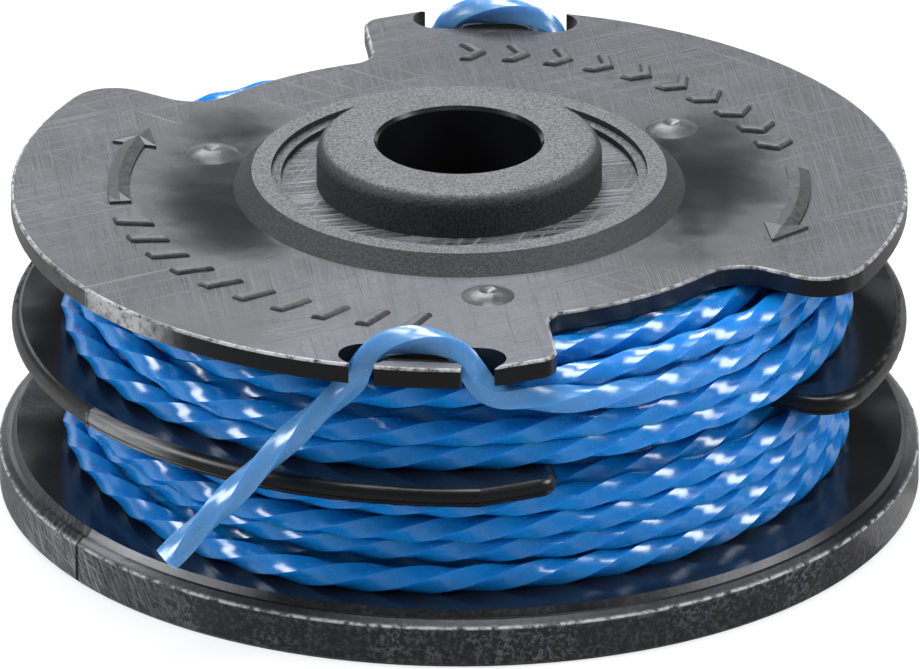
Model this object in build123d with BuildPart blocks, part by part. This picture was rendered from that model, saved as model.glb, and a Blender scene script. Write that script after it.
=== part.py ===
"""Two-line trimmer spool: one moulded body, two windings of line and their clipped ends.

Frame: +Z up along the bore, origin at the centre of the underside, the front clip towards -Y.
"""

import os
from math import cos, pi, radians, sin, tan

from build123d import *

# Bottom flange
BASE_D = 66.0
BASE_WALL_H = 3.05
BASE_FLOOR_Z = 4.0
BASE_PLATE_T = 1.8
RIM_WALL = 1.8
RIM_STEP_W = 0.55
RIM_LEDGE_W = 0.35
RIM_SLOPE_W = 0.35
RIM_LEDGE_DROP = 0.5
FOOT_CHAMFER = 0.3

# Upper flanges and the two chambers between the flanges
FLANGE_D = 64.1
FLANGE_T = 1.55
CHAMBER_H = 7.8
TOP_EDGE_R = 0.2
MID_EDGE_R = 0.7

# Hub: drum, sleeve, boss and collar
DRUM_D = 38.4
DRUM_WALL = 2.0
TOP_PLATE_T = 2.0
BORE_D = 11.7
BORE_CHAMFER = 0.25
SLEEVE_WALL = 2.35
SLEEVE_LOW_Z = 10.0
BOSS_D = 20.4
BOSS_RISE = 3.6
BOSS_EDGE_R = 1.0
COLLAR_BASE_D = 32.3
COLLAR_CREST_D = 29.7
COLLAR_CREST_W = 1.4
COLLAR_RISE = 1.3
COLLAR_STEP_W = 0.7
COLLAR_STEP_DROP = 0.45
GROOVE_RISE = 0.4

# Indexing teeth inside the drum
TOOTH_COUNT = 6
TOOTH_DEPTH = 2.0
TOOTH_H = 5.0
TOOTH_LOW_Z = 1.0
TOOTH_RAMP_DEG = 28.0

# Cutaways of the upper flanges, one each side, angles from +X about +Z
TURNS = (0.0, 180.0)
LOBE_TURNS = (0.0, 176.8)
CUT_DEPTH = 8.75
TAB_IN_DEG = -74.6
NOSE_DEG = -76.8
NOSE_SETBACK = 1.4
NOSE_START_DEG = -87.3
LOBE_IN_DEG = -34.3
LOBE_FLANK_DEG = -30.0
TAB_IN_R = 1.8
NOSE_R = 1.6
LOBE_IN_R = 3.3
LOBE_OUT_R = 3.4

# Line clips in the top flange: two keyholes each, with a trough and a bar between them
CLIP_DEG = -95.0
KEYHOLE_D = 3.6
KEYHOLE_INSET = 2.2
KEYHOLE_SPREAD = 8.3
THROAT_W = 1.8
THROAT_SPREAD = 7.95
THROAT_OFFSET = -0.185
TROUGH_DEPTH = 0.7
BAR_W = 1.2

# Moulding gate marks on the top flange: radius and angle
GATES = ((19.4, -84.0), (18.6, 162.0), (18.4, 34.0))
GATE_D = 3.8
GATE_RISE = 0.5
DIMPLE_D = 1.3
DIMPLE_DEPTH = 0.2

# Line and windings
LINE_D = 2.0
WOUND_D = 56.4
RIDGE_DEPTH = 0.65
WINDING_GAP = 0.05

# Line ends: route points from the winding to the bare tip, as radius, angle and height
FRONT_START = (
    (27.2, -50.0, 18.0),
    (27.7, -61.5, 17.9),
    (28.6, -72.0, 18.2),
)
REAR_START = (
    (27.2, -34.0, 8.9),
    (28.2, -43.0, 9.2),
    (29.9, -52.5, 11.2),
    (30.25, -62.5, 14.4),
    (30.0, -72.0, 17.3),
)
CLIPPED_END = (
    (29.2, -79.4, 19.15),
    (29.4, -85.2, 19.6),
    (29.8, -87.55, 21.7),
    (29.5, -89.05, 23.1),
    (29.15, -93.0, 23.85),
    (29.15, -98.0, 23.85),
    (29.5, -101.6, 23.05),
    (29.8, -103.1, 22.0),
    (29.5, -104.6, 20.15),
    (31.3, -110.2, 17.45),
    (34.4, -117.0, 12.9),
    (37.9, -123.0, 7.9),
)
ARC_SHARE = 0.45

# Worked-out levels and radii
BASE_R = BASE_D / 2
FLANGE_R = FLANGE_D / 2
DRUM_R = DRUM_D / 2
BORE_R = BORE_D / 2
CUT_R = FLANGE_R - CUT_DEPTH
MID_LOW_Z = BASE_FLOOR_Z + CHAMBER_H
MID_TOP_Z = MID_LOW_Z + FLANGE_T
TOP_LOW_Z = MID_TOP_Z + CHAMBER_H
TOP_Z = TOP_LOW_Z + FLANGE_T
BOSS_Z = TOP_Z + BOSS_RISE
LAP = 1.0
RUN_OUT = 10.0


def polar(radius, degrees):
    """Point of the XY plane at a radius and an angle from +X."""
    return radius * cos(radians(degrees)), radius * sin(radians(degrees))


def lobe_corner(rim_r, lobe_turn):
    """Where a cutaway's lobe flank would meet the rim if it had no rounding."""
    x, y = polar(CUT_R, LOBE_IN_DEG + lobe_turn)
    dx, dy = polar(1.0, LOBE_FLANK_DEG + lobe_turn)
    along = x * dx + y * dy
    reach = -along + (along**2 - CUT_R**2 + rim_r**2) ** 0.5
    return x + reach * dx, y + reach * dy


def cutaway_edge(rim_r, turn, lobe_turn):
    """Closed outline of one cutaway, run out past the rim."""
    outside = rim_r + RUN_OUT
    tab_in = polar(CUT_R, TAB_IN_DEG + turn)
    lobe_in = polar(CUT_R, LOBE_IN_DEG + lobe_turn)
    middle = (TAB_IN_DEG + turn + LOBE_IN_DEG + lobe_turn) / 2
    lobe_out = lobe_corner(outside, lobe_turn)
    ThreePointArc(tab_in, polar(CUT_R, middle), lobe_in)
    Polyline(
        lobe_in,
        lobe_out,
        polar(outside, middle),
        polar(outside, NOSE_START_DEG + turn),
        polar(rim_r, NOSE_START_DEG + turn),
        polar(rim_r - NOSE_SETBACK, NOSE_DEG + turn),
        tab_in,
    )


def flange_outline(rim_r, level):
    """Sketch of an upper flange: a disc with a rounded cutaway on each side."""
    with BuildSketch(Plane.XY.offset(level)) as outline:
        Circle(rim_r)
        for turn, lobe_turn in zip(TURNS, LOBE_TURNS):
            with BuildLine():
                cutaway_edge(rim_r, turn, lobe_turn)
            make_face(mode=Mode.SUBTRACT)
        for turn, lobe_turn in zip(TURNS, LOBE_TURNS):
            corners = (
                (polar(CUT_R, TAB_IN_DEG + turn), TAB_IN_R),
                (polar(rim_r - NOSE_SETBACK, NOSE_DEG + turn), NOSE_R),
                (polar(CUT_R, LOBE_IN_DEG + lobe_turn), LOBE_IN_R),
                (lobe_corner(rim_r, lobe_turn), LOBE_OUT_R),
            )
            for place, radius in corners:
                corner = outline.vertices().sort_by_distance((*place, 0))[0]
                fillet(corner, radius)
    return outline.sketch


def open_middle(low, high):
    """Cut a flange's disc back to the drum that carries it."""
    with BuildSketch(Plane.XY.offset(low)) as middle:
        Circle(DRUM_R - LAP)
    extrude(middle.sketch, amount=high - low, mode=Mode.SUBTRACT)


# Middle flange with its full round edge
with BuildPart() as mid_flange:
    extrude(flange_outline(FLANGE_R, MID_LOW_Z), amount=FLANGE_T)
    flat_faces = mid_flange.faces().filter_by(Axis.Z)
    fillet(flat_faces.edges(), MID_EDGE_R)
    open_middle(MID_LOW_Z, MID_TOP_Z)

# Top flange with its line clips
with BuildPart() as top_flange:
    extrude(flange_outline(FLANGE_R, TOP_LOW_Z), amount=FLANGE_T)
    flat_faces = top_flange.faces().filter_by(Axis.Z)
    fillet(flat_faces.edges(), TOP_EDGE_R)
    open_middle(TOP_LOW_Z, TOP_Z)
    hole_y = -(FLANGE_R - KEYHOLE_INSET)
    throat_l = KEYHOLE_INSET + LAP
    trough_in_y = hole_y + KEYHOLE_D / 2
    trough_out_y = -(FLANGE_R - BAR_W)
    for turn in TURNS:
        # Each clip plane's -Y points out of the spool along the clip's own radius
        clip_plane = Plane(
            origin=(0, 0, TOP_LOW_Z),
            x_dir=(*polar(1.0, CLIP_DEG + turn + 90.0), 0),
            z_dir=(0, 0, 1),
        )
        with BuildSketch(clip_plane):
            with Locations((-KEYHOLE_SPREAD / 2, hole_y), (KEYHOLE_SPREAD / 2, hole_y)):
                Circle(KEYHOLE_D / 2)
            with Locations(
                (THROAT_OFFSET - THROAT_SPREAD / 2, hole_y - throat_l / 2),
                (THROAT_OFFSET + THROAT_SPREAD / 2, hole_y - throat_l / 2),
            ):
                Rectangle(THROAT_W, throat_l)
        extrude(amount=FLANGE_T, mode=Mode.SUBTRACT)
        with BuildSketch(clip_plane.offset(FLANGE_T - TROUGH_DEPTH)):
            with Locations((0, (trough_in_y + trough_out_y) / 2)):
                Rectangle(KEYHOLE_SPREAD, trough_in_y - trough_out_y)
        extrude(amount=TROUGH_DEPTH, mode=Mode.SUBTRACT)

# Moulded body
with BuildPart() as spool:
    sleeve_r = BORE_R + SLEEVE_WALL
    inside_r = DRUM_R - DRUM_WALL
    rim_in_r = BASE_R - RIM_WALL
    plate_low = BASE_FLOOR_Z - BASE_PLATE_T
    crest_r = COLLAR_CREST_D / 2
    step_r = crest_r - COLLAR_CREST_W
    groove_r = step_r - COLLAR_STEP_W
    crest_z = TOP_Z + COLLAR_RISE
    step_z = crest_z - COLLAR_STEP_DROP
    ledge_z = BASE_FLOOR_Z - RIM_LEDGE_DROP
    ledge_r = BASE_R - RIM_STEP_W
    step_foot_r = ledge_r - RIM_LEDGE_W
    with BuildSketch(Plane.XZ) as section:
        with BuildLine():
            Polyline(
                (BORE_R, SLEEVE_LOW_Z),
                (BORE_R, BOSS_Z - BORE_CHAMFER),
                (BORE_R + BORE_CHAMFER, BOSS_Z),
                (BOSS_D / 2, BOSS_Z),
                (BOSS_D / 2, TOP_Z + GROOVE_RISE),
                (groove_r, TOP_Z + GROOVE_RISE),
                (groove_r, step_z),
                (step_r, step_z),
                (step_r, crest_z),
                (crest_r, crest_z),
                (COLLAR_BASE_D / 2, TOP_Z),
                (DRUM_R, TOP_Z),
                (DRUM_R, BASE_FLOOR_Z),
                (step_foot_r - RIM_SLOPE_W, BASE_FLOOR_Z),
                (step_foot_r, ledge_z),
                (ledge_r, ledge_z),
                (BASE_R, BASE_WALL_H),
                (BASE_R, FOOT_CHAMFER),
                (BASE_R - FOOT_CHAMFER, 0),
                (rim_in_r, 0),
                (rim_in_r, plate_low),
                (DRUM_R, plate_low),
                (DRUM_R, 0),
                (inside_r, 0),
                (inside_r, TOP_Z - TOP_PLATE_T),
                (sleeve_r, TOP_Z - TOP_PLATE_T),
                (sleeve_r, SLEEVE_LOW_Z),
                close=True,
            )
        make_face()
        boss_edge = section.vertices().sort_by_distance((BOSS_D / 2, BOSS_Z, 0))[0]
        fillet(boss_edge, BOSS_EDGE_R)
    revolve(axis=Axis.Z)
    add(mid_flange.part)
    add(top_flange.part)

    # One-way indexing teeth on the drum's inner wall
    tooth_root_r = inside_r + DRUM_WALL / 2
    with BuildSketch(Plane.XY.offset(TOOTH_LOW_Z)):
        for tooth in range(TOOTH_COUNT):
            tooth_deg = tooth * 360 / TOOTH_COUNT
            with BuildLine():
                Polyline(
                    polar(tooth_root_r, tooth_deg),
                    polar(inside_r - TOOTH_DEPTH, tooth_deg),
                    polar(tooth_root_r, tooth_deg + TOOTH_RAMP_DEG),
                    close=True,
                )
            make_face()
    extrude(amount=TOOTH_H)

    # Gate marks: low round domes, each with a dimple where its gate broke off
    dome_r = (GATE_D**2 / 4 + GATE_RISE**2) / (2 * GATE_RISE)
    dimple_z = (dome_r**2 - DIMPLE_D**2 / 4) ** 0.5 - dome_r + GATE_RISE
    for gate in GATES:
        gate_place = (*polar(*gate), TOP_Z)
        with BuildSketch(Plane(origin=gate_place, x_dir=(1, 0, 0), z_dir=(0, -1, 0))):
            with BuildLine():
                RadiusArc((GATE_D / 2, 0), (DIMPLE_D / 2, dimple_z), -dome_r)
                Polyline(
                    (DIMPLE_D / 2, dimple_z),
                    (0, dimple_z - DIMPLE_DEPTH),
                    (0, -LAP),
                    (GATE_D / 2, -LAP),
                    (GATE_D / 2, 0),
                )
            make_face()
        revolve(axis=Axis(gate_place, (0, 0, 1)))


def winding(floor_z):
    """Wound line as one closed ring, ridged by its turns outside and by its layers on top."""
    inner_r = DRUM_R + WINDING_GAP
    valley_r = WOUND_D / 2 - RIDGE_DEPTH
    top_z = floor_z + CHAMBER_H - WINDING_GAP - RIDGE_DEPTH
    turns = max(1, round((top_z - floor_z) / LINE_D))
    layers = max(1, round((valley_r - inner_r) / LINE_D))
    turn_h = (top_z - floor_z) / turns
    layer_w = (valley_r - inner_r) / layers
    with BuildPart() as coil:
        with BuildSketch(Plane.XZ):
            with BuildLine():
                Polyline((inner_r, top_z), (inner_r, floor_z), (valley_r, floor_z))
                for turn in range(turns):
                    low = floor_z + turn * turn_h
                    ThreePointArc(
                        (valley_r, low),
                        (valley_r + RIDGE_DEPTH, low + turn_h / 2),
                        (valley_r, low + turn_h),
                    )
                for layer in range(layers):
                    start = valley_r - layer * layer_w
                    ThreePointArc(
                        (start, top_z),
                        (start - layer_w / 2, top_z + RIDGE_DEPTH),
                        (start - layer_w, top_z),
                    )
            make_face()
        revolve(axis=Axis.Z)
    return coil


def route_points(route, turn):
    """Route of a line end in X, Y and Z, turned about the bore."""
    return [Vector(*polar(radius, degrees + turn), height) for radius, degrees, height in route]


def line_end(name, points, coil):
    """Plain tube along a line end's route, trimmed where it leaves its winding."""
    radii = []
    for before, corner, after in zip(points, points[1:], points[2:]):
        shorter = min((corner - before).length, (after - corner).length)
        turned = (corner - before).get_angle(after - corner)
        radii.append(ARC_SHARE * shorter / tan(radians(turned / 2)))
    with BuildPart() as tube:
        with BuildLine():
            path = FilletPolyline(*points, radius=radii)
        with BuildSketch(Plane(origin=path @ 0, z_dir=path % 0)):
            Circle(LINE_D / 2)
        sweep()
        share = tube.part.volume / (path.length * pi * LINE_D**2 / 4)
        add(coil.part, mode=Mode.SUBTRACT)
    print(name, "length", round(path.length, 2), "volume share", round(share, 5))
    print(name, "radii", [round(radius, 2) for radius in radii])
    return tube


upper_winding = winding(MID_TOP_Z)
lower_winding = winding(BASE_FLOOR_Z)
front_route = route_points(FRONT_START + CLIPPED_END, TURNS[0])
rear_route = route_points(REAR_START + CLIPPED_END, TURNS[1])
front_line_end = line_end("front_line_end", front_route, upper_winding)
rear_line_end = line_end("rear_line_end", rear_route, lower_winding)

os.makedirs("parts", exist_ok=True)
pieces = {
    "spool": spool,
    "upper_winding": upper_winding,
    "lower_winding": lower_winding,
    "front_line_end": front_line_end,
    "rear_line_end": rear_line_end,
}
for name, piece in pieces.items():
    piece.part.label = name
    export_step(piece.part, f"parts/{name}.step")
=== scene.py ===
"""Looks of a two-line trimmer spool: twisted line, wound, clipped and cut, on a worn black moulding.

Places are written in millimetres as radius, angle from +X and height, and turned into the frame's
metres: +Z up along the bore, the front clip towards -Y.
"""

from math import cos, pi, radians, sin

import bmesh
import bpy
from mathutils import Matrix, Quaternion, Vector


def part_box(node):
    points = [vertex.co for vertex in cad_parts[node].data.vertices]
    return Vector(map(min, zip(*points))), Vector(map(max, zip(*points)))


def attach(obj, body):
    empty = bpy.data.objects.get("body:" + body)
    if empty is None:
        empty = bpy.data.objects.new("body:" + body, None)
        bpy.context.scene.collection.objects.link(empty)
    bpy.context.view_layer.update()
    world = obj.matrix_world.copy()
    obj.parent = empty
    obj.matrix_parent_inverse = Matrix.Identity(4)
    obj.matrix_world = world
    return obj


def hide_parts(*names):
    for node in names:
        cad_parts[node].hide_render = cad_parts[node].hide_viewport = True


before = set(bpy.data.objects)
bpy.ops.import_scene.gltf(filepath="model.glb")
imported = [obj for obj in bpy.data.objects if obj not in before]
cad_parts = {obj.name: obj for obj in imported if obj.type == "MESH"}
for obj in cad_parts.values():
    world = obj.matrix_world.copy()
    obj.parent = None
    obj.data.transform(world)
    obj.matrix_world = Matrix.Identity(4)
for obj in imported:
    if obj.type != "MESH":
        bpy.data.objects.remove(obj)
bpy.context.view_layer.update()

# A millimetre in metres, and what keeps only the level part of a vector
MM = 0.001
LEVEL_PART = (1, 1, 0)

# Camera at the photo's viewing angle
CAMERA_PLACE = Vector((0.0, -1.6430, 0.7473))
CAMERA_TARGET = Vector((0.000057, -0.000354, 0.011209))
CAMERA_LENS_MM = 983.3
SENSOR_MM = 36.0

# Light: fill, what gloss sees of the surround and the floor, and lamps
FILL_COLOUR = (0.52, 0.53, 0.56, 1)
FLOOR_COLOUR = (0.86, 0.86, 0.86, 1)
FLOOR_HALF = 4.0
FLOOR_WHITE = 0.75
GLOSS_LEVEL = (0.05, 0.9)
GLOSS_BACK = (0.2, 0.7)
GLOSS_RISE = (0.1, 0.28)
FLOOR_LEVEL = (0.18, 0.5)
FLOOR_GLOSS = (-0.035, -0.005)
FLOOR_SLANT = (-0.3, 1.0, 0.0)
FLOOR_BEAM = (0.97, -0.243, 0.0)
FLOOR_BEAM_LEVEL = 0.5
FLOOR_BEAM_EDGE = (0.985, 0.995)
FLOOR_SHADE = 0.88
LAMP_COLOUR = (0.93, 0.96, 1.0)
LAMPS = {
    "top_softbox": ((0.05, 0.02, 0.9), 0.52, 6.2),
    "back_softbox": ((-0.1, 0.7, 0.72), 0.5, 6.4),
    "left_panel": ((-0.75, -0.1, 0.5), 0.46, 4.6),
    "right_panel": ((0.75, -0.05, 0.5), 0.46, 4.8),
}

# Colours, single or as the two ends of a mix
WHITE = (1, 1, 1, 1)
LINE_DEEP = ((0.0006, 0.16, 0.46, 1), (0.002, 0.2, 0.55, 1))
# Paler blue of the free end is painted light, standing in for light shining through the lone strand
LINE_LIT_THROUGH_PALE = ((0.06, 0.2, 0.39, 1), (0.09, 0.24, 0.45, 1))
# Top face: paler colour of its scratches, also used for a painted sheen at the front
FLANGE_SCRATCH_AND_SHEEN_COLOURS = ((0.014, 0.0145, 0.0165, 1), (0.085, 0.088, 0.097, 1))
MARK_COLOURS = ((0.022, 0.022, 0.023, 1), (0.056, 0.055, 0.054, 1))
GROOVE_COLOURS = ((0.012, 0.012, 0.014, 1), (0.17, 0.17, 0.18, 1))
HUB_PLAIN = ((0.006, 0.006, 0.0066, 1), (0.032, 0.032, 0.034, 1))
# Paler colours of the hub's upward faces are painted light on its tops
HUB_LIT_TOP_COLOURS = ((0.02, 0.02, 0.022, 1), (0.145, 0.145, 0.15, 1))
MOULDED_COLOURS = ((0.004, 0.0042, 0.005, 1), (0.009, 0.0092, 0.01, 1))
GATE_COLOURS = ((0.02, 0.02, 0.021, 1), (0.09, 0.09, 0.092, 1))
# Pale end of the edge colours is a painted reflection past the parting line
EDGE_AND_SHEEN_COLOURS = ((0.006, 0.006, 0.0065, 1), (0.3, 0.295, 0.285, 1))
BURR_COLOURS = ((0.02, 0.02, 0.02, 1), (0.34, 0.34, 0.34, 1))
RIM_PLAIN = ((0.013, 0.013, 0.0145, 1), (0.007, 0.007, 0.008, 1))
EDGE_SEAM = (0.003, 0.003, 0.003, 1)
RIM_SCUFFED = (0.23, 0.23, 0.235, 1)
# Painted highlight on the lip of the bottom flange
RIM_LIP_HIGHLIGHT = (0.2, 0.2, 0.205, 1)
RIM_RUBBED = (0.36, 0.365, 0.37, 1)
RIM_SEAM = (0.002, 0.002, 0.002, 1)

# Roughness, from the low to the high end of a noise
NOISE_SPAN = (0.3, 0.7)
LINE_ROUGHNESS = (0.22, 0.28)
FLANGE_ROUGHNESS = (0.5, 0.38)
MARK_ROUGHNESS = (0.34, 0.44)
GROOVE_ROUGHNESS = (0.3, 0.44)
HUB_ROUGHNESS = (0.5, 0.58)
MOULDED_ROUGHNESS = (0.14, 0.22)
GATE_ROUGHNESS = (0.24, 0.4)
EDGE_ROUGHNESS = (0.26, 0.36)
BURR_ROUGHNESS = (0.32, 0.5)
RIM_ROUGHNESS = (0.28, 0.42)

# How light seeps through the line, by colour and in millimetres
LINE_SEEP = 0.75
LINE_SEEP_SHARES = (0.25, 0.55, 1.0)
LINE_SEEP_DEPTH = 1.8
LINE_IOR = 1.6

# Directions of the brushed scratches of the top face
BRUSH_DEG = (28.0, 97.0, -38.0)

# Twisted line: a soft square, wider across its corners
HALF_W = 0.79
SQUARENESS = 6.5
CORNER_DEG = 40.0
SECTION_POINTS = 24
WOUND_PITCH = 17.6
FREE_PITCH = 23.0
ROUTE_ORDER = 3
SAMPLES_A_POINT = 16
FREE_BLEND_POINTS = 6

# Windings: inner layers as radius and count of turns, which climb and sink by turns
POINTS_A_TURN = 24
TURNS_A_LAYER = 4
UPPER_LAYERS = ((20.2, 4), (22.1, 4), (24.1, 4), (25.65, 3))
LOWER_LAYERS = ((20.2, 4), (22.0, 4), (23.8, 4), (25.4, 4))
START_DEG = 90.0
WINDOW_DEG = 45.0
SWAY = 0.05
SWAY_WAVES = (2.3, 5.7)
DRIFT_X = -0.35
DRIFT_FROM_R = 20.2
DRIFT_FULL_R = 27.2
SPARSE_R = (22.8, 26.0)
SPARSE_STRIDE = (4, 2, 1)

# Outermost layers as marks of travel in degrees, radius and height above the chamber's floor
UPPER_OUTER = (
    (45, 27.4, 0.95),
    (150, 27.8, 0.9),
    (203, 28.35, 0.9),
    (226, 28.2, 0.9),
    (235, 27.9, 0.95),
    (244, 27.6, 0.95),
    (270, 27.05, 0.95),
    (315, 27.2, 1.0),
    (405, 27.3, 2.6),
    (505, 27.6, 2.45),
    (575, 28.1, 2.6),
    (586, 27.95, 3.0),
    (596, 27.5, 3.7),
    (610, 27.15, 4.05),
    (650, 27.05, 4.6),
    (700, 27.2, 5.4),
    (760, 27.2, 6.5),
    (862, 27.2, 6.5),
    (910, 27.0, 5.0),
    (935, 27.1, 5.2),
    (960, 27.1, 5.8),
    (1000, 27.1, 5.9),
    (1020, 28.8, 5.6),
    (1085, 28.9, 4.95),
    (1110, 28.9, 4.8),
    (1152, 28.9, 4.75),
    (1182, 27.3, 4.75),
    (1204, 27.3, 4.75),
)
LOWER_OUTER = (
    (45, 27.4, 0.95),
    (120, 27.4, 0.9),
    (150, 27.6, 0.85),
    (180, 28.4, 0.85),
    (204, 29.1, 0.85),
    (222, 28.25, 0.85),
    (232, 27.6, 0.9),
    (245, 27.15, 1.05),
    (270, 27.0, 0.95),
    (315, 27.2, 1.0),
    (405, 27.2, 2.7),
    (510, 27.3, 2.6),
    (560, 27.0, 2.6),
    (585, 26.3, 2.7),
    (620, 26.3, 2.9),
    (675, 27.0, 2.8),
    (765, 27.2, 4.45),
    (870, 27.3, 4.3),
    (935, 27.3, 4.05),
    (955, 27.25, 4.4),
    (975, 27.1, 4.3),
    (1035, 27.1, 4.5),
    (1125, 27.2, 6.2),
    (1230, 27.2, 6.1),
    (1366, 27.2, 6.5),
)

# Free ends as radius, angle and height, from the winding through the clip to the bare tip
FRONT_END = (
    (27.4, -40.0, 18.1),
    (27.9, -50.0, 18.0),
    (28.3, -61.5, 17.95),
    (28.75, -72.0, 18.3),
    (29.2, -79.6, 19.0),
    (29.4, -85.8, 19.5),
    (29.8, -88.2, 21.5),
    (29.5, -89.7, 22.9),
    (29.15, -93.2, 23.6),
    (29.15, -98.0, 23.65),
    (29.5, -101.6, 23.0),
    (29.8, -103.1, 22.0),
    (29.5, -104.6, 20.15),
    (31.3, -110.2, 17.45),
    (34.4, -117.0, 12.9),
    (37.9, -123.0, 7.9),
)
REAR_END = (
    (27.3, -34.0, 10.7),
    (28.2, -43.0, 10.55),
    (29.9, -52.5, 11.7),
    (30.25, -62.5, 14.4),
    (30.0, -72.0, 17.3),
    (29.2, -79.4, 19.15),
    (29.4, -85.2, 19.6),
    (29.8, -87.55, 21.7),
    (29.5, -89.05, 23.1),
    (29.15, -93.0, 23.85),
    (29.15, -98.0, 23.85),
    (29.5, -101.6, 23.05),
    (29.8, -103.1, 22.0),
    (29.5, -104.6, 20.15),
    (31.3, -110.2, 17.45),
    (34.4, -117.0, 12.9),
    (37.9, -123.0, 7.9),
)
TURN_DEG = {"front": 0.0, "rear": 180.0}

# Levels, radii and slopes of the moulding that its finish follows
TOP_Z = 22.7
TOP_LOW_Z = 21.15
MID_TOP_Z = 13.35
MID_EDGE_R = 0.7
MID_EDGE_TILT = (0.51, 0.489)
MID_LOW_Z = 11.8
RIM_EDGE_Z = 3.05
FLANGE_R = 32.05
EDGE_MIN_R = 20.2
BASE_R = 33.0
COLLAR_R = 16.15
BORE_EDGE_R = 6.1
LIP_R = 31.76
LIP_H = 0.94
RIM_CLEAR = 0.05
BURR_H = 0.21
NEAR = 0.01
HAIR = 0.001
FLAT = 0.999
BORE_LEVEL = 0.97
GROOVE_LEVEL = 0.9
GROOVE_R = (10.2, 12.75)
GROOVE_H = 1.0
PARTING_DEG = 34.5

# Smudges of the top face: one at a place, and a ring from the collar outwards
SMUDGE_PLACE = (-17.5, -24.5)
SMUDGE_REACH = 9.0
HUB_SMUDGE = (1.5, 11.0)

# Raised arrows on the top flange
ARROW_R = 24.35
ARROW_TAIL_DEG = 7.4
ARROW_NECK_DEG = -17.0
ARROW_TIP_DEG = -24.0
ARROW_HALF_W = 0.79
ARROW_HEAD_HALF_W = 1.65
ARROW_FOOT_H = -0.05
ARROW_SIDE_H = 0.2
ARROW_RIDGE_H = 0.46
ARROW_HIP_DEG = 2.2
ARROW_STEPS = 14

# Plain raised marks where the moulding carries relief
CHEVRONS = 10
CHEVRON_R = 23.8
CHEVRON_DEG = (90.0, 20.0)
CHEVRON_HALF_H = 1.35
CHEVRON_REACH = 1.0
CHEVRON_STROKE = 0.95
BARS = 10
BAR_R = 24.1
BAR_DEG = (197.0, 264.0)
BAR_HALF_H = 1.3
BAR_W = 0.95
BAR_LEAN = 0.5
MARK_H = 0.3
MARK_BEVEL = 0.22
MARK_BEVEL_STEPS = 3

# Flash ridges along the mould's parting line
FLASH_W = 0.14
FLASH_PROUD = 0.09
FLASH_DEEP = 0.15
BASE_FLASH_Z = (0.35, 1.2, 2.1, 3.0)
MIDDLE_FLASH_Z = (12.0, 12.6, 13.15)
TOP_FLASH_Z = (21.36, 21.9, 22.49)


def polar(radius, degrees, height):
    """Point in metres from a radius, an angle and a height in millimetres."""
    turn = radians(degrees)
    return Vector((radius * cos(turn), radius * sin(turn), height)) * MM


def add_mesh(name, vertices, faces, material):
    """New mesh object that rides on the spool."""
    mesh = bpy.data.meshes.new(name)
    mesh.from_pydata(vertices, [], faces)
    mesh.validate()
    mesh.materials.append(material)
    piece = bpy.data.objects.new(name, mesh)
    bpy.context.scene.collection.objects.link(piece)
    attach(piece, "root")
    return piece


def ease(share):
    """Smooth step from 0 to 1."""
    share = min(1.0, max(0.0, share))
    return share * share * (3 - 2 * share)


# Node helpers
def add_node(tree, kind, inputs=(), **settings):
    """New node of a tree; each input is a value or another node's output."""
    node = tree.nodes.new(kind)
    for name, value in settings.items():
        setattr(node, name, value)
    for key, value in dict(inputs).items():
        if isinstance(value, bpy.types.NodeSocket):
            tree.links.new(value, node.inputs[key])
        else:
            node.inputs[key].default_value = value
    return node


def calc(tree, operation, *values):
    """Output of a Math node."""
    return add_node(tree, "ShaderNodeMath", enumerate(values), operation=operation).outputs[0]


def vector_calc(tree, operation, *values):
    """Outputs of a Vector Math node."""
    return add_node(tree, "ShaderNodeVectorMath", enumerate(values), operation=operation).outputs


def axes(tree, vector):
    """X, Y and Z of a vector."""
    return add_node(tree, "ShaderNodeSeparateXYZ", {0: vector}).outputs


def ramp(tree, value, low, high, to_low=0.0, to_high=1.0):
    """Value carried from one range to another by a smooth step."""
    inputs = {"Value": value, "From Min": low, "From Max": high, "To Min": to_low, "To Max": to_high}
    node = add_node(tree, "ShaderNodeMapRange", inputs, interpolation_type="SMOOTHSTEP")
    return node.outputs["Result"]


def mix_colour(tree, factor, first, second):
    """Output of a colour mix."""
    node = add_node(tree, "ShaderNodeMix", data_type="RGBA")
    for key, value in (("Factor_Float", factor), ("A_Color", first), ("B_Color", second)):
        socket = next(s for s in node.inputs if s.identifier == key)
        if isinstance(value, bpy.types.NodeSocket):
            tree.links.new(value, socket)
        else:
            socket.default_value = value
    return next(s for s in node.outputs if s.identifier == "Result_Color")


def noise(tree, place, scale, detail=3.0, roughness=0.55):
    """Noise from 0 to 1 at a scale in waves a metre."""
    inputs = {"Vector": place, "Scale": scale, "Detail": detail, "Roughness": roughness}
    return add_node(tree, "ShaderNodeTexNoise", inputs).outputs["Fac"]


def scratches(tree, place, degrees, across, along, low, high):
    """Thin parallel scratches: noise drawn out along one direction of the XY plane."""
    stretch = (1 / along, 1 / across, 1 / along)
    inputs = {"Vector": place, "Rotation": (0, 0, radians(degrees)), "Scale": stretch}
    turned = add_node(tree, "ShaderNodeMapping", inputs, vector_type="TEXTURE")
    return ramp(tree, noise(tree, turned.outputs[0], 1.0, 4.0, 0.65), low, high)


def band(tree, value, centre, half):
    """1 at a value, fading to 0 at a distance each side of it."""
    away = calc(tree, "ABSOLUTE", calc(tree, "SUBTRACT", value, centre))
    return ramp(tree, away, 0.0, half, 1.0, 0.0)


def past_parting(tree, parts):
    """Angle past the mould's parting line, from 0 to pi on each half."""
    angle = calc(tree, "ARCTAN2", parts["Y"], parts["X"])
    return calc(tree, "WRAP", calc(tree, "SUBTRACT", angle, radians(PARTING_DEG)), pi, 0.0)


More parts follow.
